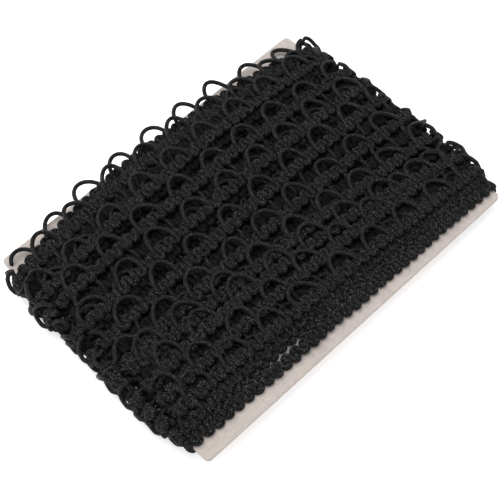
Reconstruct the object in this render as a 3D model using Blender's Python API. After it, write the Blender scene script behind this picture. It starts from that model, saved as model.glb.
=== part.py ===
"""Looped gimp braid wound in layers round a flat card.

Metres, +Z up. X runs along the card, Y across it, and every loop stands
towards +Y. The origin is the bottom centre of the whole object's box, on
the surface that the winding rests on.

The winding is one ring round the card: a ridge for each turn of braid that
shows, each with its row of elastic loops, and a scalloped edge. The card
lies in the ring's slot.
"""

import math
from collections import namedtuple

import bmesh
import bpy

MM = 0.001
WELD = 0.01 * MM

# The card
CARD_LENGTH = 174 * MM
CARD_WIDTH = 133 * MM
CARD_THICKNESS = 1.4 * MM
CARD_CORNER = 2.2 * MM
CARD_CORNER_SEGMENTS = 4
CLEARANCE = 0.3 * MM

# The braid, a thick cord laid in tight zigzags, and the loops along one edge of it
CORD = 2.4 * MM
BRAID_WIDTH = 6.5 * MM
BRAID_ROUNDING = 0.9 * MM
SCALLOP_PITCH = 4.9 * MM
SCALLOP_DEPTH = 1.3 * MM
SCALLOP_POINTS = 4
SCALLOP_NOTCH = math.radians(14)
SCALLOP_THICKNESS = 1.8 * MM
LOOP_PITCH = 4 * SCALLOP_PITCH
LOOP_CORD = 1.8 * MM
LOOP_HALF_WIDTH = 6.0 * MM
LOOP_FOOT = 3.0 * MM
LOOP_HEIGHT = 9.8 * MM
LOOP_FOOT_DEPTH = 0.7 * MM
LOOP_STEPS = 6

# The winding
REST_RADIUS = 7.4 * MM
END_BULGE = 0.9 * MM
LEAST_WALL = 1.0 * MM
WAVE = 0.3 * MM
WAVE_TURN = 2.1 * math.pi
PULL = 4.5 * MM
ROW_TURN = 1.7
TOP_SPANS = 6
BOTTOM_SPANS = 1
CORNER_STEPS = 3
RUN_END = CARD_LENGTH / 2 + CLEARANCE
SLOT_HALF_HEIGHT = CARD_THICKNESS / 2 + CLEARANCE
CARD_LEVEL = REST_RADIUS + SLOT_HALF_HEIGHT

# One row for each turn that shows, from the near edge of the card to the far one, in mm.
# near_left, near_mid and near_right place its near edge on the top at the left end, the
# middle and the right end. top is its height over the slot's wall. first_loop is where its
# first loop would be without the pull, and tip_rise is how far a tip stands over the top.
Row = namedtuple("Row", "near_left near_mid near_right top first_loop loop_count tip_rise")
ROWS = tuple(Row(*values) for values in (
    (-58.8, -59.4, -61.6, 2.5, 0.0, 0, 0.0),
    (-50.4, -51.0, -54.8, 5.0, 25.0, 3, 2.2),
    (-42.2, -42.4, -47.6, 6.8, -79.8, 5, 1.1),
    (-34.0, -34.0, -40.6, 7.3, -74.0, 9, 1.2),
    (-23.6, -24.6, -29.6, 7.4, -70.9, 9, 1.2),
    (-16.0, -13.2, -13.0, 7.4, -98.6, 10, 1.2),
    (-3.0, 0.3, 1.8, 7.4, -85.6, 10, 1.2),
    (8.5, 14.0, 13.5, 7.4, -96.4, 10, 1.2),
    (24.0, 27.3, 24.0, 7.4, -92.3, 10, 1.2),
    (32.5, 40.5, 38.0, 7.4, -84.8, 10, 1.2),
    (45.8, 54.0, 45.6, 5.2, -90.5, 10, 0.6),
    (52.6, 61.0, 52.4, 2.8, -81.7, 9, -0.6),
))

Station = namedtuple("Station", "base_x base_z out_x out_z place side")


def metres(millimetres):
    return millimetres * MM


def stations():
    """Places round the card: along the top, over the right end, back below, up the left end."""
    ring = []
    turns = [math.radians(90 * step / CORNER_STEPS) for step in range(CORNER_STEPS + 1)]
    for side, sign, spans in (("top", 1, TOP_SPANS), ("bottom", -1, BOTTOM_SPANS)):
        end = sign * RUN_END
        wall = sign * SLOT_HALF_HEIGHT
        for step in range(spans + 1):
            place = end * (2 * step / spans - 1)
            ring.append(Station(place, wall, 0, sign, place, side))
        for turn in turns[1:]:
            ring.append(Station(end, wall, sign * math.sin(turn), sign * math.cos(turn), end, "end"))
        for turn in turns[:-1]:
            ring.append(Station(end, -wall, sign * math.cos(turn), -sign * math.sin(turn), end, "end"))
    return ring


def near_edge(row, place, side="top"):
    """The row's near edge at a place: bowed along the top, straight back along the bottom."""
    t = max(-1, min(1, place / RUN_END))
    middle = (row.near_left + row.near_right) / 2
    slant = (row.near_right - row.near_left) / 2 * t
    bow = row.near_mid - middle if side == "top" else 0
    return metres(middle + slant + bow * (1 - t * t))


def pulled(place):
    """A place along the trim once wound: the braid is drawn tighter towards the right end."""
    t = place / RUN_END
    return place + PULL * max(0, 1 - t * t)


def crest(row, station):
    """The height of the row's top over the slot's wall, flat below where it rests."""
    top = metres(row.top)
    if station.side == "bottom":
        return top
    phase = ROW_TURN * ROWS.index(row)
    if station.side == "end":
        return top - WAVE + END_BULGE * (1 + math.sin(phase)) / 2
    return top - WAVE + WAVE * math.sin(phase + WAVE_TURN * station.place / RUN_END)


def crest_on_top(row, place):
    """The row's top height at any place along the card, read between the stations."""
    run = [s for s in stations() if s.side == "top"]
    span = 2 * RUN_END / TOP_SPANS
    clamped = min(max(place, -RUN_END), RUN_END)
    index = min(int((clamped + RUN_END) / span), TOP_SPANS - 1)
    part = (clamped - run[index].place) / span
    return crest(row, run[index]) * (1 - part) + crest(row, run[index + 1]) * part


def section_points(row):
    """The row's profile across the card: foot, near shoulder, far shoulder, foot."""
    return (
        (0, lambda top: max(top - CORD, LEAST_WALL)),
        (BRAID_ROUNDING, lambda top: top),
        (BRAID_WIDTH - BRAID_ROUNDING, lambda top: top),
        (BRAID_WIDTH, lambda top: max(top - CORD, LEAST_WALL)),
    )


def make_material(name, colour, roughness):
    material = bpy.data.materials.new(name)
    material.use_nodes = True
    shader = material.node_tree.nodes["Principled BSDF"]
    shader.inputs["Base Color"].default_value = (*colour, 1)
    shader.inputs["Roughness"].default_value = roughness
    shader.inputs["Metallic"].default_value = 0
    return material


def new_collection(name):
    collection = bpy.data.collections.new(name)
    bpy.context.scene.collection.children.link(collection)
    return collection


def add_mesh_object(name, bm, collection):
    mesh = bpy.data.meshes.new(name)
    bm.to_mesh(mesh)
    bm.free()
    piece = bpy.data.objects.new(name, mesh)
    collection.objects.link(piece)
    return piece


def mesh_from_curve(curve_object, collection):
    """Turn a curve object into a closed mesh object of the same name."""
    name = curve_object.name
    depsgraph = bpy.context.evaluated_depsgraph_get()
    mesh = bpy.data.meshes.new_from_object(curve_object.evaluated_get(depsgraph))
    bm = bmesh.new()
    bm.from_mesh(mesh)
    bmesh.ops.remove_doubles(bm, verts=bm.verts, dist=WELD)
    matrix = curve_object.matrix_world.copy()
    bpy.data.objects.remove(curve_object)
    piece = add_mesh_object(name, bm, collection)
    piece.matrix_world = matrix
    bpy.data.meshes.remove(mesh)
    return piece


def as_cutter(piece):
    piece.hide_render = True
    piece.display_type = "WIRE"
    return piece


def make_card(parts):
    bm = bmesh.new()
    bmesh.ops.create_cube(bm, size=1)
    bmesh.ops.scale(bm, verts=bm.verts, vec=(CARD_LENGTH, CARD_WIDTH, CARD_THICKNESS))
    corners = [e for e in bm.edges if abs(e.verts[0].co.z - e.verts[1].co.z) > CARD_THICKNESS / 2]
    bmesh.ops.bevel(bm, geom=corners, offset=CARD_CORNER, segments=CARD_CORNER_SEGMENTS,
                    profile=0.5, affect="EDGES", material=-1)
    return add_mesh_object("card", bm, parts)


def section(bm, row, across, height):
    """A closed line of points round the card, across from the row's near edge."""
    line = []
    for s in stations():
        r = height(crest(row, s))
        y = near_edge(row, s.place, s.side) + across
        line.append(bm.verts.new((s.base_x + s.out_x * r, y, s.base_z + s.out_z * r)))
    return line


def make_ring(parts):
    """The wound body: sections round the card, from row to row, closed by the slot's wall."""
    bm = bmesh.new()
    lines = [section(bm, ROWS[0], 0, lambda top: 0)]
    for row in ROWS:
        lines += [section(bm, row, across, height) for across, height in section_points(row)]
    lines.append(section(bm, ROWS[-1], BRAID_WIDTH, lambda top: 0))
    count = len(lines[0])
    for near, far in zip(lines, lines[1:] + lines[:1]):
        for i in range(count):
            j = (i + 1) % count
            bm.faces.new((near[i], near[j], far[j], far[i]))
    bmesh.ops.remove_doubles(bm, verts=bm.verts, dist=WELD)
    bmesh.ops.triangulate(bm, faces=bm.faces)
    bmesh.ops.recalc_face_normals(bm, faces=bm.faces)
    return add_mesh_object("winding", bm, parts)


def make_scallops(cutters):
    """A plate with a scalloped near edge, half sunk in the nearest turn."""
    row = ROWS[0]
    back = 3 * BRAID_ROUNDING
    depth = BRAID_ROUNDING + SCALLOP_DEPTH
    count = int(2 * RUN_END / SCALLOP_PITCH)
    start = -count * SCALLOP_PITCH / 2
    outline = [(start, near_edge(row, start) + back)]
    for scallop in range(count):
        centre = start + (scallop + 0.5) * SCALLOP_PITCH
        for point in range(SCALLOP_POINTS):
            part = point / (SCALLOP_POINTS - 1)
            angle = SCALLOP_NOTCH + (math.pi - 2 * SCALLOP_NOTCH) * part
            x = pulled(centre - SCALLOP_PITCH / 2 * math.cos(angle))
            outline.append((x, near_edge(row, x) + BRAID_ROUNDING - depth * math.sin(angle)))
    outline.append((-start, near_edge(row, -start) + back))
    curve = bpy.data.curves.new("scallops", "CURVE")
    curve.dimensions = "2D"
    curve.fill_mode = "BOTH"
    curve.extrude = SCALLOP_THICKNESS / 2
    spline = curve.splines.new("POLY")
    spline.points.add(len(outline) - 1)
    spline.use_cyclic_u = True
    for point, (x, y) in zip(spline.points, outline):
        point.co = (x, y, 0, 1)
    plate = bpy.data.objects.new("scallops", curve)
    cutters.objects.link(plate)
    plate.location.z = SLOT_HALF_HEIGHT + metres(row.top) / 2
    bpy.context.view_layer.update()
    return as_cutter(mesh_from_curve(plate, cutters))


def wrap(place, height):
    """The point at a place along the braid, carried over the card's ends, as x and z."""
    beyond = abs(place) - RUN_END
    if beyond <= 0:
        return place, SLOT_HALF_HEIGHT + height
    sign = math.copysign(1, place)
    angle = beyond / REST_RADIUS
    drop = 0
    if angle > math.pi / 2:
        drop = min((angle - math.pi / 2) * REST_RADIUS, 2 * SLOT_HALF_HEIGHT)
        angle = max(math.pi / 2, angle - drop / REST_RADIUS)
    x = sign * (RUN_END + height * math.sin(angle))
    return x, SLOT_HALF_HEIGHT - drop + height * math.cos(angle)


def loop_path(row, place):
    """One elastic loop: half an ellipse that starts and ends inside the braid."""
    near = near_edge(row, place)
    base = crest_on_top(row, place)
    if abs(place) > RUN_END:
        base += END_BULGE
    rise = metres(row.tip_rise)
    points = []
    for step in range(LOOP_STEPS + 1):
        angle = math.pi * step / LOOP_STEPS
        out = max(0, math.sin(angle))
        height = base - LOOP_FOOT_DEPTH + (LOOP_FOOT_DEPTH + rise) * math.sqrt(out)
        x, z = wrap(place - LOOP_HALF_WIDTH * math.cos(angle), height)
        points.append((x, near + LOOP_FOOT + LOOP_HEIGHT * out, z))
    return points


def make_loops(cutters):
    """Every loop on the top and over the ends, as one mesh of short thick cords."""
    curve = bpy.data.curves.new("loops", "CURVE")
    curve.dimensions = "3D"
    curve.bevel_depth = LOOP_CORD / 2
    curve.bevel_resolution = 0
    curve.use_fill_caps = True
    for row in ROWS:
        for number in range(row.loop_count):
            points = loop_path(row, pulled(metres(row.first_loop) + number * LOOP_PITCH))
            spline = curve.splines.new("POLY")
            spline.points.add(len(points) - 1)
            for point, co in zip(spline.points, points):
                point.co = (*co, 1)
    loops = bpy.data.objects.new("loops", curve)
    cutters.objects.link(loops)
    bpy.context.view_layer.update()
    return as_cutter(mesh_from_curve(loops, cutters))


def add_union(piece, fused):
    modifier = piece.modifiers.new(fused.name, "BOOLEAN")
    modifier.operation = "UNION"
    modifier.object = fused
    modifier.solver = "EXACT"
    modifier.use_self = True


def centre_on_box(pieces, holder):
    """Move the holder so that the object's box stands centred on the origin."""
    bpy.context.view_layer.update()
    corners = []
    depsgraph = bpy.context.evaluated_depsgraph_get()
    for piece in pieces:
        evaluated = piece.evaluated_get(depsgraph)
        corners += [evaluated.matrix_world @ vertex.co for vertex in evaluated.data.vertices]
    for axis in (0, 1):
        values = [corner[axis] for corner in corners]
        holder.location[axis] -= (min(values) + max(values)) / 2


def build():
    for old in list(bpy.data.objects):
        bpy.data.objects.remove(old)
    parts = new_collection("looped_trim")
    cutters = new_collection("cutters")
    holder = bpy.data.objects.new("trim_on_card", None)
    parts.objects.link(holder)
    holder.location.z = CARD_LEVEL

    card = make_card(parts)
    card.data.materials.append(make_material("cardboard", (0.60, 0.55, 0.51), 0.9))
    winding = make_ring(parts)
    winding.data.materials.append(make_material("black_braid", (0.012, 0.012, 0.013), 0.75))
    for fused in (make_scallops(cutters), make_loops(cutters)):
        fused.parent = holder
        add_union(winding, fused)
    card.parent = holder
    winding.parent = holder
    centre_on_box((card, winding), holder)


build()
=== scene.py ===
# %% [markdown]
# # Looped gimp braid wound on a card
#
# This is haberdashery stock: a narrow black braid with elastic button loops along one edge,
# wound lengthwise round a greyboard card in about three layers. The braid is one thick
# gimp cord laid in tight zigzags, so its near edge is a row of scallops, and at every
# fourth scallop an elastic cord stands out of its far edge as an open loop.
#
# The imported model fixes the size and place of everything. Its card stays and only gets a
# better finish. Its winding is a ridged ring with square loops, which stands in for the
# braid, so the real cords are built here, in the space which that ring holds.

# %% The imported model
import math
from collections import namedtuple

import bmesh
import bpy
import numpy as np
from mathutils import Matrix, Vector


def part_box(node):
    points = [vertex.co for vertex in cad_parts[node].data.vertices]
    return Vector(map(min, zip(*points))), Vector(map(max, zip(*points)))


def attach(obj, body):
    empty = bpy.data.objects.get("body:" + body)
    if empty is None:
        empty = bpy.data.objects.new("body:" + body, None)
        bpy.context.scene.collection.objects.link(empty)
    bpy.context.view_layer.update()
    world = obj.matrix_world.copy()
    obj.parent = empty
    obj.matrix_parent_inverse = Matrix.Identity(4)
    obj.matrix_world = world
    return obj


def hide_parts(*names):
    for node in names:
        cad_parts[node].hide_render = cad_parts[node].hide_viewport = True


MM = 0.001
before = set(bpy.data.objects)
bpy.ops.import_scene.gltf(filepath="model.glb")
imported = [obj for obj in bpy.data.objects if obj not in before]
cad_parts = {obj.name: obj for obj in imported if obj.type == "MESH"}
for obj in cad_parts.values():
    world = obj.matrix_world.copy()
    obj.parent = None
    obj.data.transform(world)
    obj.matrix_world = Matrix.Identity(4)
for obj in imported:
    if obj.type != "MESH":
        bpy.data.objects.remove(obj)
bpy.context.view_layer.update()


# %% The card's place
card_low, card_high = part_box("card")
CENTRE = (card_low + card_high) / 2
CLEARANCE = 0.3 * MM
END = (card_high.x - card_low.x) / 2 + CLEARANCE
WALL = (card_high.z - card_low.z) / 2 + CLEARANCE
CARD_TOP = card_high.z
scene = bpy.context.scene
print("the card's middle is", [round(v / MM, 2) for v in CENTRE], "mm from the origin")

# %% [markdown]
# ## The camera
#
# The camera looks from the near left, well above the card. Its direction, distance and lens
# come from fitting the four corners of the card, which is surer than turning a camera by
# hand until it looks right. It is set before anything is modelled, so that each new piece
# can be judged in the same frame as the photograph.

# %% The camera
AZIMUTH = math.radians(-37.405)
ELEVATION = math.radians(58.028)
ROLL = math.radians(-7.391)
DISTANCE = 559.7 * MM
AIM = Vector((-7.95 * MM, -7.78 * MM, 0))
SENSOR = 36
LENS = 93.6
CLIP_START = 10 * MM

back = Vector((math.sin(AZIMUTH) * math.cos(ELEVATION),
               -math.cos(AZIMUTH) * math.cos(ELEVATION),
               math.sin(ELEVATION)))
right = Vector((0, 0, 1)).cross(back).normalized()
up = back.cross(right)
right, up = (math.cos(ROLL) * right + math.sin(ROLL) * up,
             -math.sin(ROLL) * right + math.cos(ROLL) * up)
camera = bpy.data.objects.new("camera", bpy.data.cameras.new("camera"))
scene.collection.objects.link(camera)
camera.data.sensor_width = SENSOR
camera.data.lens = LENS
camera.data.clip_start = CLIP_START
for row, values in enumerate(zip(right, up, back)):
    for column, value in enumerate(values):
        camera.matrix_world[row][column] = value
camera.matrix_world.translation = Vector((CENTRE.x, CENTRE.y, CARD_TOP)) + AIM + DISTANCE * back
scene.camera = camera
print("the camera stands at", [round(v, 3) for v in camera.matrix_world.translation])

# %% [markdown]
# ## Colours and nodes
#
# Colours are read off the object as sRGB hex values, and Blender wants linear ones, so one
# function turns one into the other. Every material is built from nodes, and one small
# function adds a node, sets it and links it.

# %% Colour and node helpers
def linear(hex_colour):
    """An sRGB hex colour as linear red, green, blue and alpha."""
    parts = [int(hex_colour[i:i + 2], 16) / 255 for i in (1, 3, 5)]
    return [p / 12.92 if p < 0.04045 else ((p + 0.055) / 1.055) ** 2.4 for p in parts] + [1]


def add_node(tree, kind, settings=None, links=None, stops=None):
    """Add one node, set its sockets and properties, link its inputs and colour its ramp."""
    node = tree.nodes.new(kind)
    for name, value in (settings or {}).items():
        if isinstance(name, int) or name in node.inputs.keys():
            node.inputs[name].default_value = value
        else:
            setattr(node, name, value)
    for name, socket in (links or {}).items():
        tree.links.new(socket, node.inputs[name])
    for index, (place, colour) in enumerate(stops or []):
        if index > 1:
            node.color_ramp.elements.new(place)
        node.color_ramp.elements[index].position = place
        node.color_ramp.elements[index].color = linear(colour)
    return node


def new_material(name):
    """An empty node material and its tree."""
    material = bpy.data.materials.new(name)
    material.use_nodes = True
    material.node_tree.nodes.clear()
    return material, material.node_tree


def finish_material(tree, shader):
    """Send the shader to the material's output."""
    add_node(tree, "ShaderNodeOutputMaterial", links={"Surface": shader.outputs["BSDF"]})


print("a middle grey, #808080, is", round(linear("#808080")[0], 3), "in linear light")

# %% [markdown]
# ## The sizes of the braid
#
# The gimp cord is about 2.5 mm thick and folded into a braid 7 mm wide, with a scallop
# every 4.9 mm, so that its legs touch and a thin dark groove stays between them. The
# elastic is thinner, and each loop is half an ellipse, with its feet sunk in the middle of
# the braid. Winding pulls the braid a little tighter towards the right end, so the scallops
# come closer there, and over the ends of the card the braid bulges out a little.

# %% Sizes of the braid
CORD = 2.54 * MM
BRAID_WIDTH = 7.0 * MM
PITCH = 4.9 * MM
PULL = 4.5 * MM
END_BULGE = 0.15 * MM
ELASTIC = 2.0 * MM
LOOP_HALF_WIDTH = 6.0 * MM
LOOP_HEIGHT = 9.4 * MM
LOOP_FOOT = 3.0 * MM
LOOP_EVERY = 4
LOOP_SPACING = round(LOOP_EVERY * PITCH / MM, 1)
chance = np.random.default_rng(12)
print("a loop comes every", LOOP_SPACING, "mm")

# %% [markdown]
# ## Where each turn lies
#
# Each row is one turn of braid, from the near edge of the card to the far one. A loop could
# space the turns evenly, but nobody winds trim so evenly, and the eye goes to the outline
# first, so the outer turns are placed one by one. A turn is not straight either: its near
# edge is placed at the left end, the middle and the right end, and so is its top over the
# wall of the slot that the card fills. The turns are pulled flat at
# the ends and lie higher between them, and the near ones sink towards the card, where some
# of them cross at the right. Then comes the place where the turn's first loop would be
# without the pull. All of them are read off the object, in mm. A row may also say how far
# the turn is pushed back at one place, which only one turn of the first layer does.

# %% Rows of the outer turns
Row = namedtuple("Row", "near_left near_mid near_right top_left top_mid top_right first_loop parted",
                 defaults=(0.0,))
EDGES = slice(0, 3)
TOPS = slice(3, 6)
OUTER = [Row(*values) for values in (
    (-59.4, -61.7, -63.2, 2.3, 2.3, 2.3, -84.0),
    (-53.6, -53.0, -57.5, 3.6, 3.8, 2.6, -82.0),
    (-46.6, -49.8, -54.5, 4.9, 6.2, 4.4, -71.5),
    (-39.5, -39.2, -43.5, 5.8, 7.3, 4.8, -80.5),
    (-31.7, -30.4, -45.0, 6.0, 7.5, 6.0, -70.5),
    (-20.0, -23.6, -28.8, 5.6, 7.5, 5.8, -72.6),
    (-16.5, -12.6, -12.6, 5.9, 7.5, 5.4, -79.0),
    (-3.0, 0.9, 2.4, 5.2, 7.5, 5.4, -67.9),
    (8.5, 14.4, 13.2, 5.7, 7.5, 5.8, -77.1),
    (24.5, 27.9, 24.2, 6.2, 7.5, 5.7, -73.4),
    (33.0, 41.2, 38.8, 6.0, 7.5, 5.0, -84.3),
    (46.5, 53.8, 44.0, 4.6, 5.0, 4.0, -71.6),
    (49.6, 60.0, 47.8, 2.4, 2.5, 2.4, -81.6),
)]
print(len(OUTER), "outer turns")

# %% [markdown]
# The turns of the second layer show between the outer ones. Each lies between two outer
# turns, and its share says how far over towards the farther one. At about a half it fills
# the valley with braid. At more, its loops come out just behind the farther turn's loops,
# as they do here and there on the object. Its loops are shifted along it, and its top stays
# at least a millimetre under its neighbours' tops.

# %% Rows of the second layer
Below = namedtuple("Below", "outer share along top")
UNDER = 1.0
SECOND_PLACES = [Below(*values) for values in (
    (1, 0.50, 7.0, 3.2),
    (2, 0.45, 3.0, 4.0),
    (3, 0.55, 12.0, 4.3),
    (4, 0.50, 8.0, 4.3),
    (5, 0.50, 2.0, 4.3),
    (6, 0.52, 15.0, 4.4),
    (7, 0.78, 8.0, 4.6),
    (8, 0.50, 3.0, 4.3),
    (9, 0.76, 14.0, 4.6),
    (10, 0.50, 7.0, 4.3),
)]


def lower_row(below):
    """A turn between two outer ones, with its top under theirs."""
    near, far = OUTER[below.outer], OUTER[below.outer + 1]
    edges = [a * (1 - below.share) + b * below.share for a, b in zip(near[EDGES], far[EDGES])]
    tops = [min(below.top, a - UNDER, b - UNDER) for a, b in zip(near[TOPS], far[TOPS])]
    return Row(*edges, *tops, near.first_loop + below.along)


SECOND = [lower_row(below) for below in SECOND_PLACES]
print(len(SECOND), "turns in the second layer")

# %% [markdown]
# The first layer is wound side by side and hides most of the card, so its turns are spread
# evenly between its nearest and its farthest one. The nearest is pushed back at one place,
# where the card shows between it and the nearest outer turn.

# %% Rows of the first layer
FIRST_TURNS = 18
FIRST_NEAREST = (-53.6, -56.2, -57.8)
FIRST_FARTHEST = (42.0, 49.5, 42.0)
FIRST_TOPS = (2.4, 2.5, 2.4)
FIRST_LOOPS_FROM = -80
FIRST_LOOPS_STEP = 7
FIRST_PARTED = 1.5
PARTED_X = -34.0 * MM
PARTED_HALF = 12.0 * MM


def first_row(number):
    """A turn of the first layer, from the nearest, which is pushed back, to the farthest."""
    share = number / (FIRST_TURNS - 1)
    edges = [a * (1 - share) + b * share for a, b in zip(FIRST_NEAREST, FIRST_FARTHEST)]
    first_loop = FIRST_LOOPS_FROM + FIRST_LOOPS_STEP * number % LOOP_SPACING
    return Row(*edges, *FIRST_TOPS, first_loop, FIRST_PARTED if number == 0 else 0.0)


FIRST = [first_row(number) for number in range(FIRST_TURNS)]
print(len(FIRST), "turns in the first layer")

# %% [markdown]
# ## The way round the card
#
# Each turn could be a closed ring, but real trim is one length, so one layer of winding is
# one long helix: along the top, over the right end, back along the bottom, slanting to where
# the next turn starts, and up over the left end. It is kept as a table of stations. Each has
# the number of scallops so far, the place on the slot's wall, the angle by which the trim has
# turned over, its near edge and its height. Anything on the trim is then placed by its
# scallop number, and rides over the ends by itself.

# %% Stations along a run
Stations = namedtuple("Stations", "scallop x z turn near height")
SCALLOP, NEAR, HEIGHT = (Stations._fields.index(name) for name in ("scallop", "near", "height"))
QUARTER_TURN = math.pi / 2


def bowed(left, middle, right_value, t):
    """A value that passes through three places along the card."""
    chord = (left + right_value) / 2 + (right_value - left) / 2 * t
    return chord + (middle - (left + right_value) / 2) * (1 - t * t)


def run_along(start, turn, near, height, span):
    """Stations of one run: span is the run's two wall places and its length in scallops."""
    (x0, z0), (x1, z1), scallops = span
    t = np.linspace(0, 1, len(near))
    return np.column_stack((start + t * scallops, x0 + (x1 - x0) * t, z0 + (z1 - z0) * t,
                            turn, near, height))


print("a station has", len(Stations._fields), "values")

# %% Over an end of the card
CORNER_STEPS = 8
EDGE_STEPS = 3


def end_run(start, turn, near, height, x, z):
    """Stations over one end of the card: a quarter turn, the card's edge, a quarter turn."""
    t = np.linspace(0, 1, CORNER_STEPS)
    level = np.ones(EDGE_STEPS)
    bulge = height + END_BULGE
    arc = QUARTER_TURN * bulge / PITCH
    edge = 2 * WALL / PITCH
    first = run_along(start, turn + QUARTER_TURN * t, near + 0 * t,
                      height + END_BULGE * t, ((x, z), (x, z), arc))
    side = run_along(start + arc, turn + QUARTER_TURN * level, level * near,
                     level * bulge, ((x, z), (x, -z), edge))
    last = run_along(start + arc + edge, turn + QUARTER_TURN * (1 + t), near + 0 * t,
                     bulge - END_BULGE * t, ((x, -z), (x, -z), arc))
    return np.vstack((first, side[1:], last[1:]))


lowest_end = end_run(0, 0, 0, OUTER[0].top_right * MM - CORD / 2, END, WALL)
print("an end takes", round(lowest_end[-1, SCALLOP], 1), "scallops or more")

# %% Along the top
TOP_STEPS = 60


def top_run(row, offset):
    """Stations along the top, with the pull towards the right end."""
    t = np.linspace(-1, 1, TOP_STEPS)
    x = t * END
    scallop = (x - row.first_loop * MM - PULL * (1 - t * t)) / PITCH + offset
    near = bowed(row.near_left, row.near_mid, row.near_right, t) * MM
    near += row.parted * MM * np.exp(-((x - PARTED_X) / PARTED_HALF) ** 2)
    height = bowed(row.top_left, row.top_mid, row.top_right, t) * MM - CORD / 2
    return np.column_stack((scallop, x, WALL + 0 * t, 0 * t, near, height))


print("the top takes", round(2 * END / PITCH, 1), "scallops")

# %% [markdown]
# The loops of a turn have to come where the object has them, so each turn starts at a
# scallop number that puts them there. The run along the bottom takes up what is over: its
# scallops are a little closer or wider, which doesn't show.

# %% A whole layer
BOTTOM_STEPS = 40
SAME_PLACE = 1e-6
Layer = namedtuple("Layer", "rows stations starts")


def wound_layer(rows):
    """A layer's whole helix, with the scallop numbers at which its turns start."""
    parts = []
    starts = []
    offset = 0
    for number, row in enumerate(rows):
        after = rows[min(number + 1, len(rows) - 1)]
        top = top_run(row, offset)
        starts.append(top[0, SCALLOP])
        height = top[-1, HEIGHT]
        turn = 2 * math.pi * number
        right_end = end_run(top[-1, SCALLOP], turn, top[-1, NEAR], height, END, WALL)
        next_height = after.top_left * MM - CORD / 2
        left_length = (math.pi * (next_height + END_BULGE) + 2 * WALL) / PITCH
        next_start = (-END - after.first_loop * MM) / PITCH
        plain = right_end[-1, SCALLOP] + 2 * END / PITCH + left_length
        offset = LOOP_EVERY * round((plain - next_start) / LOOP_EVERY)
        spare = next_start + offset - right_end[-1, SCALLOP] - left_length
        t = np.linspace(0, 1, BOTTOM_STEPS)
        near = row.near_right + (after.near_left - row.near_right) * t
        bottom = run_along(right_end[-1, SCALLOP], turn + math.pi + 0 * t, near * MM,
                           height + (next_height - height) * t, ((END, -WALL), (-END, -WALL), spare))
        left_end = end_run(bottom[-1, SCALLOP], turn + math.pi, after.near_left * MM,
                           next_height, -END, -WALL)
        parts += [top, right_end[1:], bottom[1:], left_end[1:]]
    table = np.vstack(parts)
    moving_on = np.concatenate(([True], np.diff(table[:, SCALLOP]) > SAME_PLACE))
    return Layer(rows, Stations(*table[moving_on].T), starts)


outer_layer = wound_layer(OUTER)
second_layer = wound_layer(SECOND)
first_layer = wound_layer(FIRST)
for name, layer in (("outer", outer_layer), ("second", second_layer), ("first", first_layer)):
    print("the", name, "layer has", round(np.ptp(layer.stations.scallop)), "scallops")

# %% A point on the trim
def placed(stations, scallop, along, across, lift, radius):
    """Points on the trim: along and across it, lifted over its middle, kept off the floor."""
    where = scallop + along / PITCH
    x, z, turn, near, height = (np.interp(where, stations.scallop, column) for column in stations[1:])
    reach = height + lift
    points = np.column_stack((x + np.sin(turn) * reach, near + across, z + np.cos(turn) * reach))
    points += np.array(CENTRE)
    points[:, 2] = np.maximum(points[:, 2], radius)
    return points


first_point = placed(outer_layer.stations, outer_layer.starts[0], 0, 0, 0, 0)[0]
print("the outer layer's top starts at", [round(v / MM, 1) for v in first_point], "mm")

# %% [markdown]
# ## Cords made of curves
#
# A cord could be bridged ring by ring, but a curve with a round bevel is simpler: Blender
# sweeps the round section along it, with no poles and with a map that runs along the cord.
# The curve is then made a mesh, because a mesh can be joined, baked and exported. Its map is
# scaled to millimetres along the cord, by the mean length of the piece's cords, and climbs
# by a whole number of threads per turn round it, so spirals close on themselves.

# %% Curves to meshes
SIDES = {4: 0, 6: 1, 8: 2}
THREADS_ROUND = 6


def cords(name, lines, diameter, sides, thread, thickness=None):
    """One mesh of round cords along lines of points, mapped in millimetres."""
    curve = bpy.data.curves.new(name, "CURVE")
    curve.dimensions = "3D"
    curve.bevel_depth = diameter / 2
    curve.bevel_resolution = SIDES[sides]
    curve.use_fill_caps = True
    lengths = []
    for index, line in enumerate(lines):
        spline = curve.splines.new("POLY")
        spline.points.add(len(line) - 1)
        spline.points.foreach_set("co", np.column_stack((line, np.ones(len(line)))).ravel())
        if thickness is not None:
            spline.points.foreach_set("radius", thickness[index])
        lengths.append(np.linalg.norm(np.diff(line, axis=0), axis=1).sum())
    holder = bpy.data.objects.new(name, curve)
    scene.collection.objects.link(holder)
    mesh = bpy.data.meshes.new_from_object(holder.evaluated_get(bpy.context.evaluated_depsgraph_get()))
    bpy.data.objects.remove(holder)
    bpy.data.curves.remove(curve)
    mesh.name = name
    uv = np.empty(len(mesh.loops) * 2, np.float32)
    mesh.uv_layers[0].data.foreach_get("uv", uv)
    uv = uv.reshape(-1, 2) * (np.mean(lengths) / MM, thread * THREADS_ROUND)
    mesh.uv_layers[0].data.foreach_set("uv", uv.astype(np.float32).ravel())
    piece = bpy.data.objects.new(name, mesh)
    scene.collection.objects.link(piece)
    triangles = sum(len(p.vertices) - 2 for p in mesh.polygons)
    print(name, "has", triangles, "triangles and", round(sum(lengths), 2), "m of cord")
    return piece


def on_winding(piece, material):
    """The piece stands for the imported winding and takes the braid's finish."""
    piece.data.materials.append(material)
    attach(piece, "root")
    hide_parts("winding")


print("a cord has", THREADS_ROUND, "threads round it, and", " or ".join(map(str, SIDES)), "sides")

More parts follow.
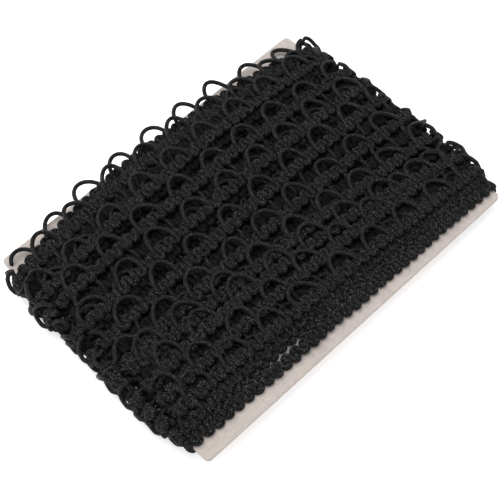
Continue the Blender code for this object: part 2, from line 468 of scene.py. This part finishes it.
# %% [markdown]
# ## Black gimp
#
# Gimp is a soft core under a fine cover of shiny polyester, plaited round it in two
# opposite spirals. A plain black would look like rubber. Black polyester returns very
# little light, and what it does return comes as small glints where the threads cross over.
# Two crossing waves draw the plait as a dark net of fine bead shapes. That is the plait's
# pattern, and its lighter crossings and darker grooves are also painted highlight and
# painted shade. The real threads are about 0.4 mm apart, which is finer than a pixel here,
# so they are drawn 0.85 mm apart and broken up by noise of three sizes: tufts, worn places,
# and specks. The brightest specks are mixed into the colour as painted glints. The turns
# below take a copy of this finish that is rougher and less shiny. Its glints are painted
# dimmer as painted shade in the valleys, and its darkest tones are painted lighter as
# painted fill light in the crevices.

# %% The gimp's finish
GIMP_THREAD = 0.85
WAVE_PERIOD = 0.2 * math.pi
TUFT = 1.1 * MM
WORN_PLACE = 16 * MM
SPECK = 0.45 * MM
THREAD_RELIEF = 0.3 * MM
WORN_SHARE = 0.25
TONES = (0.14, 0.26, 0.55)
# The specks between these values are mixed into the colour as painted glints.
PAINTED_GLINT_RANGE = {"From Min": 0.57, "From Max": 0.64}


def plaited_cover(name, thread, colours, painted_glint, roughness, specular, relief):
    """Threads plaited round a core: two crossing spirals with painted light and shade, uneven, with small
    painted glints.
    """
    material, tree = new_material(name)
    place = add_node(tree, "ShaderNodeTexCoord")
    turned = add_node(tree, "ShaderNodeMapping", {"Scale": (1, -1, 1)}, {"Vector": place.outputs["UV"]})
    spiral = {"bands_direction": "DIAGONAL", "Scale": WAVE_PERIOD / thread, "Distortion": 1.4,
              "Detail": 1.0, "Detail Scale": 1.2}
    one_way = add_node(tree, "ShaderNodeTexWave", spiral, {"Vector": place.outputs["UV"]})
    other_way = add_node(tree, "ShaderNodeTexWave", spiral, {"Vector": turned.outputs["Vector"]})
    # The crossing waves give the plait's pattern, painted lighter on the crossings as painted highlight
    # and darker in the grooves as painted shade.
    plait_with_painted_light = add_node(tree, "ShaderNodeMath", {"operation": "MULTIPLY"},
                     {0: one_way.outputs["Fac"], 1: other_way.outputs["Fac"]})
    tufts = add_node(tree, "ShaderNodeTexNoise", {"Scale": 1 / TUFT, "Detail": 3, "Roughness": 0.75},
                     {"Vector": place.outputs["Object"]})
    worn = add_node(tree, "ShaderNodeTexNoise", {"Scale": 1 / WORN_PLACE, "Detail": 2},
                    {"Vector": place.outputs["Object"]})
    specks = add_node(tree, "ShaderNodeTexNoise", {"Scale": 1 / SPECK, "Detail": 1},
                      {"Vector": place.outputs["Object"]})
    uneven = add_node(tree, "ShaderNodeMath", {"operation": "MULTIPLY"},
                      {0: plait_with_painted_light.outputs["Value"], 1: tufts.outputs["Fac"]})
    tone = add_node(tree, "ShaderNodeMath", {"operation": "MULTIPLY_ADD", 1: WORN_SHARE},
                    {0: worn.outputs["Fac"], 2: uneven.outputs["Value"]})
    colour = add_node(tree, "ShaderNodeValToRGB", links={"Fac": tone.outputs["Value"]},
                      stops=tuple(zip(TONES, colours)))
    # Painted glints: the brightest specks mix a light grey into the base colour as painted highlights.
    painted_glint_mask = add_node(tree, "ShaderNodeMapRange", PAINTED_GLINT_RANGE, {"Value": specks.outputs["Fac"]})
    painted_glint_colour = add_node(tree, "ShaderNodeMix", {"data_type": "RGBA", 7: linear(painted_glint)},
                       {0: painted_glint_mask.outputs["Result"], 6: colour.outputs["Color"]})
    bump = add_node(tree, "ShaderNodeBump", {"Strength": relief, "Distance": THREAD_RELIEF},
                    {"Height": uneven.outputs["Value"]})
    shader = add_node(tree, "ShaderNodeBsdfPrincipled",
                      {"Roughness": roughness, "Specular IOR Level": specular, "IOR": 1.5,
                       "Sheen Weight": 0.02, "Sheen Roughness": 0.4},
                      {"Base Color": painted_glint_colour.outputs[2], "Normal": bump.outputs["Normal"]})
    finish_material(tree, shader)
    return material


# The gimp of the outer turns and the nearest one, with #505051 mixed in as painted glints.
gimp = plaited_cover("black_polyester_gimp", GIMP_THREAD, ("#030303", "#070707", "#242425"),
                     "#505051", roughness=0.7, specular=0.10, relief=1.0)
# A copy of the gimp for the turns below, which show in the valleys: its lighter darkest tones are painted
# fill light in the crevices, and its dimmer #2b2b2c glints are painted shade.
valley_light_and_shade_gimp = plaited_cover("polyester_gimp_painted_valley_light_and_shade", GIMP_THREAD, ("#0a0a0a", "#121212", "#252526"),
                             "#2b2b2c", roughness=0.8, specular=0.06, relief=0.7)
print("the gimp's threads are drawn", GIMP_THREAD, "mm apart")

# %% [markdown]
# ## The gimp cord
#
# One fold is a straight leg across the braid, a half turn at the far edge, a leg back and
# a half turn at the near edge, which is the scallop. An Array modifier could repeat a
# modelled fold, but all of them would be alike, so the cord's line is worked out instead.
# Its direction is simple to write: it is constant on a leg and swings over on a bend,
# slowest in the middle, so that the scallop is a little flat. Adding up small steps in that
# direction gives the line.

# %% One fold of the zigzag
QUARTER_BEND = QUARTER_TURN * PITCH / 4
LEG = BRAID_WIDTH - CORD - PITCH / 2
FOLD_LENGTH = 4 * QUARTER_BEND + 2 * LEG
FOLD_POINTS = 241
STEEPEST = math.radians(93)
FLATNESS = 0.4

turning = np.cumsum((0, QUARTER_BEND, LEG, 2 * QUARTER_BEND, LEG, QUARTER_BEND))
reached = np.linspace(0, FOLD_LENGTH, FOLD_POINTS)
middles = (reached[1:] + reached[:-1]) / 2
swing = np.interp(middles, turning, (0, 1, 1, -1, -1, 0))
direction = STEEPEST * ((1 - FLATNESS) * swing + FLATNESS * swing ** 3)
fold_share = reached / FOLD_LENGTH
fold_along = np.concatenate(([0], np.cumsum(np.cos(direction))))
fold_along = (fold_along / fold_along[-1] - fold_share) * PITCH
fold_across = np.concatenate(([0], np.cumsum(np.sin(direction))))
fold_across = 2 * fold_across / fold_across.max() - 1
print("one fold takes", round(FOLD_LENGTH / MM, 1), "mm of cord")

# %% [markdown]
# No real braid is even. The fold is repeated by the scallop number, and its width, place,
# slant, height and tilt, its drift across the braid and the cord's thickness all wander.
# Each of these changes has a size, and a number of scallops after which it has a new value.
# The cord also grows thicker where the folds lie far apart and thinner where they crowd.

# %% How the braid wanders
Change = namedtuple("Change", "size every")
WIDTH = Change(0.05, 0.9)
PLACE = Change(0.14 * MM, 0.9)
SLANT = Change(0.22 * MM, 4.0)
DRIFT = Change(0.22 * MM, 3.0)
LIFT = Change(0.12 * MM, 2.0)
TILT = Change(0.22 * MM, 6.0)
THICKNESS = Change(0.02, 0.5)


def wander(where, change):
    """A smooth random change along the trim."""
    knots = np.arange(where[0] - change.every, where[-1] + 2 * change.every, change.every)
    values = chance.normal(0, change.size, len(knots))
    place = (where - knots[0]) / change.every
    index = place.astype(int)
    part = place - index
    part = part * part * (3 - 2 * part)
    return values[index] * (1 - part) + values[index + 1] * part


print("the braid tilts anew every", round(TILT.every * PITCH / MM), "mm")

# %% The line of the gimp
LEAST_ROOM = 0.9
MOST_ROOM = 1.12
MOST_UNEVEN = 0.04
EDGE_DROP = 0.15 * MM


def fold_room(stations, where):
    """How far apart the folds lie at a place, as a share of the usual pitch."""
    before = placed(stations, where - 0.5, 0, 0, 0, 0)
    after = placed(stations, where + 0.5, 0, 0, 0, 0)
    return np.clip(np.linalg.norm(after - before, axis=1) / PITCH, LEAST_ROOM, MOST_ROOM)


def zigzag(stations, first, last, points):
    """The gimp cord's middle line between two scallop numbers, and its thickness."""
    where = np.arange(first, last + 0.5 / points, 1 / points)
    side = np.interp(where % 1, fold_share, fold_across) * (1 + wander(where, WIDTH))
    along = np.interp(where % 1, fold_share, fold_along) + wander(where, PLACE)
    along += wander(where, SLANT) * side
    across = BRAID_WIDTH / 2 + (BRAID_WIDTH - CORD) / 2 * side + wander(where, DRIFT)
    lift = wander(where, LIFT) + wander(where, TILT) * side - EDGE_DROP * side ** 2
    line = placed(stations, where, along, across, lift, CORD / 2)
    uneven = np.clip(wander(where, THICKNESS), -MOST_UNEVEN, MOST_UNEVEN)
    return line, fold_room(stations, where) + uneven


print("the folds' room makes the gimp", LEAST_ROOM, "to", MOST_ROOM, "times its usual thickness")

# %% [markdown]
# The outer turns are modelled finely, and so is the nearest turn of the first layer, which
# shows beside the card. The other turns below only show in the valleys, so they get fewer
# points and fewer sides. A section with few sides is thinner than a round one, so those
# cords are swelled a little. Each layer starts under the card, where the real trim's ends
# are most likely tucked in, and ends where its last turn comes back over the left end. A
# piece holds a few turns, so that none grows too heavy.

# %% The turns of gimp
TAIL = 14
TUCKED_STEPS = 12


def before_first(row):
    """Stations for the tucked start of a layer: the bottom's last stretch and the left end."""
    height = row.top_left * MM - CORD / 2
    start = (-END - row.first_loop * MM) / PITCH
    over = end_run(0, math.pi, row.near_left * MM, height, -END, -WALL)
    over[:, SCALLOP] += start - over[-1, SCALLOP]
    t = np.linspace(0, 1, TUCKED_STEPS)
    under = run_along(over[0, SCALLOP] - TAIL, math.pi + 0 * t, row.near_left * MM + 0 * t,
                      height + 0 * t, ((-END + TAIL * PITCH, -WALL), (-END, -WALL), TAIL))
    return Stations(*np.vstack((under, over[1:])).T)


def layer_pieces(name, layer, groups, detail, material):
    """The gimp of a layer, in one piece for each group of turns."""
    stops = layer.starts + [layer.stations.scallop[-1]]
    for index, (first, last) in enumerate(groups):
        lines = [zigzag(layer.stations, stops[number], stops[number + 1], detail.points)
                 for number in range(first, last)]
        if first == 0:
            tucked = before_first(layer.rows[0])
            lines.insert(0, zigzag(tucked, tucked.scallop[0], tucked.scallop[-1], detail.points))
        piece = cords(f"{name}_{index + 1}", [line for line, _ in lines], CORD * detail.swell,
                      detail.sides, GIMP_THREAD, [thickness for _, thickness in lines])
        on_winding(piece, material)


Detail = namedtuple("Detail", "points sides swell")
FINE = Detail(22, 8, 1.0)
SHOWING = Detail(18, 8, 1.0)
VALLEY = Detail(14, 6, 1.04)
HIDDEN = Detail(10, 4, 1.25)
OUTER_GROUPS = ((0, 5), (5, 9), (9, len(OUTER)))
ALL_SECOND = ((0, len(SECOND)),)
SHOWING_FIRST = ((0, 1),)
HIDDEN_FIRST = ((1, len(FIRST)),)
# The outer turns and the nearest one take the gimp; the turns below take its copy with painted valley
# light and shade.
layer_pieces("outer_gimp", outer_layer, OUTER_GROUPS, FINE, gimp)
layer_pieces("second_gimp", second_layer, ALL_SECOND, VALLEY, valley_light_and_shade_gimp)
layer_pieces("near_gimp", first_layer, SHOWING_FIRST, SHOWING, gimp)
layer_pieces("first_gimp", first_layer, HIDDEN_FIRST, HIDDEN, valley_light_and_shade_gimp)

# %% [markdown]
# ## Elastic loops
#
# The elastic is a rubber core under a finer black covering, so it looks smoother than the
# gimp and catches a soft line of light. Each loop comes up between two scallops, lies on
# the braid, and stands out past its far edge. A bent torus could be copied for each, but a
# line worked out from the winding's stations bends with the trim over the card's ends.

# %% The elastic's finish
ELASTIC_THREAD = 0.6
# The elastic takes the same plaited finish, with its crossings painted as light and shade and #444445
# mixed in as painted glints.
elastic = plaited_cover("covered_elastic", ELASTIC_THREAD, ("#010101", "#050505", "#2b2b2c"),
                        "#444445", roughness=0.42, specular=0.14, relief=1.0)
print("the elastic's threads are drawn", ELASTIC_THREAD, "mm apart")

# %% [markdown]
# A loop starts in the braid, climbs onto it at once and drops a little at its tip. Where the
# trim goes over an end of the card it is pulled tight, so the loops there are shorter and
# flatter. The loops are far from even: their width, height, lean, twist and place differ.

# %% One loop
FOOT_ANGLE = math.radians(-7)
FOOT_SHARE = 0.1
CLIMB = 3.2
LOOP_LIFT = 1.6 * MM
TIP_DROP = 0.5 * MM
END_FLATTER = 1.3 * MM
END_SHORTER = 0.22
WIDTH_SPREAD = 0.05
HEIGHT_SPREAD = 0.06
LEAN_SPREAD = 0.10
TWIST_SPREAD = 0.35 * MM
PLACE_SPREAD = 0.4 * MM


def elastic_loop(stations, scallop, points, rise):
    """One loop's line on the trim, with its own lean, size and lift."""
    angle = np.linspace(FOOT_ANGLE, math.pi - FOOT_ANGLE, points)
    over_end = abs(math.sin(np.interp(scallop, stations.scallop, stations.turn)))
    width = LOOP_HALF_WIDTH * chance.normal(1, WIDTH_SPREAD)
    height = LOOP_HEIGHT * chance.normal(1, HEIGHT_SPREAD) * (1 - END_SHORTER * over_end)
    lean = chance.normal(0, LEAN_SPREAD)
    twist = chance.normal(0, TWIST_SPREAD)
    out = np.sin(angle)
    side = -np.cos(angle)
    across = LOOP_FOOT + height * out
    along = width * side + lean * height * out + chance.normal(0, PLACE_SPREAD)
    tip_rise = rise - TIP_DROP - END_FLATTER * over_end
    lift = LOOP_LIFT * np.clip(out * CLIMB + FOOT_SHARE, 0, 1) + tip_rise * np.clip(out, 0, 1) ** 3
    lift += twist * side * np.clip(out, 0, 1)
    return placed(stations, scallop, along, across, lift, ELASTIC / 2)


print("a loop stands out", round((LOOP_FOOT + LOOP_HEIGHT - BRAID_WIDTH) / MM, 1), "mm past the braid")

# %% [markdown]
# The loops of the outer turns stand up most. Those below rise less and show less, so they
# get fewer points and sides. The loops of the nearest outer turn's top lie hidden under the
# next turns, and are left out.

# %% The loops
Loops = namedtuple("Loops", "points sides rise spread")
OUTER_LOOPS = Loops(24, 8, 0.5 * MM, 0.6 * MM)
SECOND_LOOPS = Loops(18, 6, 0.0, 0.3 * MM)
FIRST_LOOPS = Loops(14, 4, 0.0, 0.2 * MM)


def layer_loops(name, layer, loops, hidden):
    """The loops of a layer as one piece, after a number of hidden scallops."""
    first = LOOP_EVERY * math.ceil((layer.starts[0] + hidden) / LOOP_EVERY)
    lines = []
    for scallop in np.arange(first, layer.stations.scallop[-1] - 1, LOOP_EVERY):
        rise = chance.normal(loops.rise, loops.spread)
        lines.append(elastic_loop(layer.stations, scallop, loops.points, rise))
    on_winding(cords(name, lines, ELASTIC, loops.sides, ELASTIC_THREAD), elastic)


layer_loops("outer_loops", outer_layer, OUTER_LOOPS, 2 * END / PITCH)
layer_loops("second_loops", second_layer, SECOND_LOOPS, 1)
layer_loops("first_loops", first_layer, FIRST_LOOPS, 1)

# %% [markdown]
# ## Greyboard
#
# The card is greyboard, pressed from recycled paper. Its face is a warm pale grey with
# short darker fibres and flecks, and it has no gloss. One noise could tint it, but pulp,
# fibres and flecks differ in size, so each has its own. The fibres lie along the card, so
# their noise is stretched that way.

# %% The card's face
PULP = 9 * MM
FIBRE = 0.9 * MM
FLECK_SPACING = 3.4 * MM
ALONG_CARD = (0.35, 1, 1)
FLECK = {"From Min": 0.05, "From Max": 0.11, "To Min": 0.75, "To Max": 0.0}

greyboard, tree = new_material("greyboard")
place = add_node(tree, "ShaderNodeTexCoord")
stretched = add_node(tree, "ShaderNodeMapping", {"Scale": ALONG_CARD}, {"Vector": place.outputs["Object"]})
pulp = add_node(tree, "ShaderNodeTexNoise", {"Scale": 1 / PULP, "Detail": 5, "Roughness": 0.6},
                {"Vector": place.outputs["Object"]})
fibres = add_node(tree, "ShaderNodeTexNoise", {"Scale": 1 / FIBRE, "Detail": 4, "Roughness": 0.7},
                  {"Vector": stretched.outputs["Vector"]})
specks = add_node(tree, "ShaderNodeTexVoronoi", {"Scale": 1 / FLECK_SPACING, "Randomness": 1.0},
                  {"Vector": place.outputs["Object"]})
face = add_node(tree, "ShaderNodeValToRGB", links={"Fac": pulp.outputs["Fac"]},
                stops=((0.3, "#bdb4af"), (0.7, "#c9c0bb")))
fibre_tone = add_node(tree, "ShaderNodeValToRGB", links={"Fac": fibres.outputs["Fac"]},
                      stops=((0.3, "#d8d4d0"), (0.62, "#ffffff")))
mottled = add_node(tree, "ShaderNodeMix", {"data_type": "RGBA", "blend_type": "MULTIPLY", 0: 0.6},
                   {6: face.outputs["Color"], 7: fibre_tone.outputs["Color"]})
fleck = add_node(tree, "ShaderNodeMapRange", FLECK, {"Value": specks.outputs["Distance"]})
flecked = add_node(tree, "ShaderNodeMix", {"data_type": "RGBA", 7: linear("#7d736c")},
                   {0: fleck.outputs["Result"], 6: mottled.outputs[2]})
print("a fleck comes about every", round(FLECK_SPACING / MM, 1), "mm")

# %% [markdown]
# The card's cut edge shows the pressed layers as fine lines along it. It is told from the
# face by its normal, which lies level.

# %% The card's edge
PLY = 2.6 * MM
ACROSS_PLIES = (1, 1, 9)
BOARD_RELIEF = 0.12 * MM

geometry = add_node(tree, "ShaderNodeNewGeometry")
facing = add_node(tree, "ShaderNodeSeparateXYZ", links={"Vector": geometry.outputs["True Normal"]})
on_edge = add_node(tree, "ShaderNodeMath", {"operation": "COMPARE", 1: 0.0, 2: 0.5},
                   {0: facing.outputs["Z"]})
layered = add_node(tree, "ShaderNodeMapping", {"Scale": ACROSS_PLIES}, {"Vector": place.outputs["Object"]})
plies = add_node(tree, "ShaderNodeTexNoise", {"Scale": 1 / PLY, "Detail": 3, "Roughness": 0.6},
                 {"Vector": layered.outputs["Vector"]})
cut = add_node(tree, "ShaderNodeValToRGB", links={"Fac": plies.outputs["Fac"]},
               stops=((0.3, "#8f857e"), (0.68, "#c4bab3")))
board = add_node(tree, "ShaderNodeMix", {"data_type": "RGBA"},
                 {0: on_edge.outputs["Value"], 6: flecked.outputs[2], 7: cut.outputs["Color"]})
relief = add_node(tree, "ShaderNodeBump", {"Strength": 0.25, "Distance": BOARD_RELIEF},
                  {"Height": fibres.outputs["Fac"]})
shader = add_node(tree, "ShaderNodeBsdfPrincipled",
                  {"Roughness": 0.88, "Specular IOR Level": 0.25, "IOR": 1.5},
                  {"Base Color": board.outputs[2], "Normal": relief.outputs["Normal"]})
finish_material(tree, shader)
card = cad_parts["card"]
card.data.materials.clear()
card.data.materials.append(greyboard)
print("the card takes", card.data.materials[0].name)

# %% [markdown]
# ## Floor and light
#
# The object lies on a plain white sweep, which glows a little so that it stays white. Big
# soft lights from above, behind and the left give the black cords their thin highlights,
# and a pale surround keeps the shadows light.

# %% The floor
FLOOR_HALF = 3
FLOOR_GLOW = 0.5

bm = bmesh.new()
bmesh.ops.create_grid(bm, x_segments=1, y_segments=1, size=FLOOR_HALF)
mesh = bpy.data.meshes.new("floor")
bm.to_mesh(mesh)
bm.free()
floor = bpy.data.objects.new("floor", mesh)
scene.collection.objects.link(floor)
paper, tree = new_material("white_paper_sweep")
shader = add_node(tree, "ShaderNodeBsdfPrincipled",
                  {"Base Color": linear("#fbfbfb"), "Roughness": 0.9, "Specular IOR Level": 0.1,
                   "Emission Color": (1, 1, 1, 1), "Emission Strength": FLOOR_GLOW})
finish_material(tree, shader)
floor.data.materials.append(paper)
print("the floor is", 2 * FLOOR_HALF, "m across")

# %% The lights
Light = namedtuple("Light", "name azimuth elevation distance size energy")
LIGHTS = (
    Light("overhead_softbox", 160, 78, 1.3, 1.0, 8.3),
    Light("far_softbox", 180, 48, 1.4, 0.9, 5.6),
    Light("left_softbox", -110, 40, 1.4, 0.9, 2.4),
)
SURROUND = 0.57
for light in LIGHTS:
    lamp = bpy.data.objects.new(light.name, bpy.data.lights.new(light.name, "AREA"))
    lamp.data.shape = "SQUARE"
    lamp.data.size = light.size
    lamp.data.energy = light.energy
    azimuth = math.radians(light.azimuth)
    elevation = math.radians(light.elevation)
    away = Vector((math.sin(azimuth) * math.cos(elevation), -math.cos(azimuth) * math.cos(elevation),
                   math.sin(elevation)))
    lamp.location = away * light.distance
    lamp.rotation_euler = away.to_track_quat("Z", "Y").to_euler()
    scene.collection.objects.link(lamp)
world = bpy.data.worlds.new("surround")
world.use_nodes = True
world.node_tree.nodes["Background"].inputs["Color"].default_value = (1, 1, 1, 1)
world.node_tree.nodes["Background"].inputs["Strength"].default_value = SURROUND
scene.world = world
scene.view_settings.view_transform = "Standard"
print(len(LIGHTS), "lights and a pale surround")
